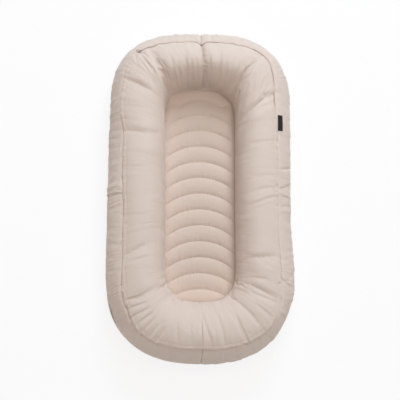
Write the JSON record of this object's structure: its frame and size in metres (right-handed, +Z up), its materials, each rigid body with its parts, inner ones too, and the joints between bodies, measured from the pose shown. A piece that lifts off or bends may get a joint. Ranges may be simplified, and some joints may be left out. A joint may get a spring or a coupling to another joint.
{
  "type": "infant lounger",
  "caption": "Padded infant lounger: a quilted lying panel inside a thick gathered bumper, in a zip-off cotton cover with a boxed side band.",
  "frame": {"origin": "on the floor, under the middle of the lounger's length and width", "axes": "+Z up; +Y towards the head end, along the length; +X to the right of someone who stands at the foot end and looks at the head end"},
  "size_m": [0.46, 0.8203, 0.14],
  "materials": {
    "cover_cotton": "matte",
    "panel_cotton": "matte",
    "seam": "matte",
    "casing_cloth": "matte",
    "fibre": "matte",
    "zip_tape": "matte",
    "zip_coil": "satin",
    "zip_metal": "satin",
    "label_weave": "matte"
  },
  "bodies": {
    "lounger": {"bumper_panel_left": "cover_cotton", "bumper_panel_right": "cover_cotton", "side_band_right": "cover_cotton", "side_band_left_head": "cover_cotton", "side_band_left_above_zip": "cover_cotton", "side_band_left_below_zip": "cover_cotton", "centre_panel": "panel_cotton", "base_panel": "cover_cotton", "outer_seam_edge": "seam", "inner_seam_edge": "seam", "base_seam_edge": "seam", "casing_left": "casing_cloth", "casing_right": "casing_cloth", "casing_base": "casing_cloth", "bolster_filling_left": "fibre", "bolster_filling_right": "fibre", "centre_pad": "fibre", "zip_tape_upper": "zip_tape", "zip_tape_lower": "zip_tape", "zip_coil_upper": "zip_coil", "zip_coil_lower": "zip_coil", "zip_top_stop": "zip_metal", "zip_end_stop": "zip_metal", "side_label": "label_weave"},
    "slider": {"zip_slider": "zip_metal"},
    "pull": {"zip_pull": "zip_metal"}
  },
  "joints": [
    {"name": "zip_slide", "type": "slide", "parent": "lounger", "child": "slider", "axis": [-0.0182, -0.9998, 0], "range_m": [0, 0.198]},
    {"name": "zip_pull_swing", "type": "hinge", "parent": "slider", "child": "pull", "pos_m": [-0.22806, -0.00907, 0.04], "axis": [0, 0, -1], "range_deg": [0, 175]}
  ]
}
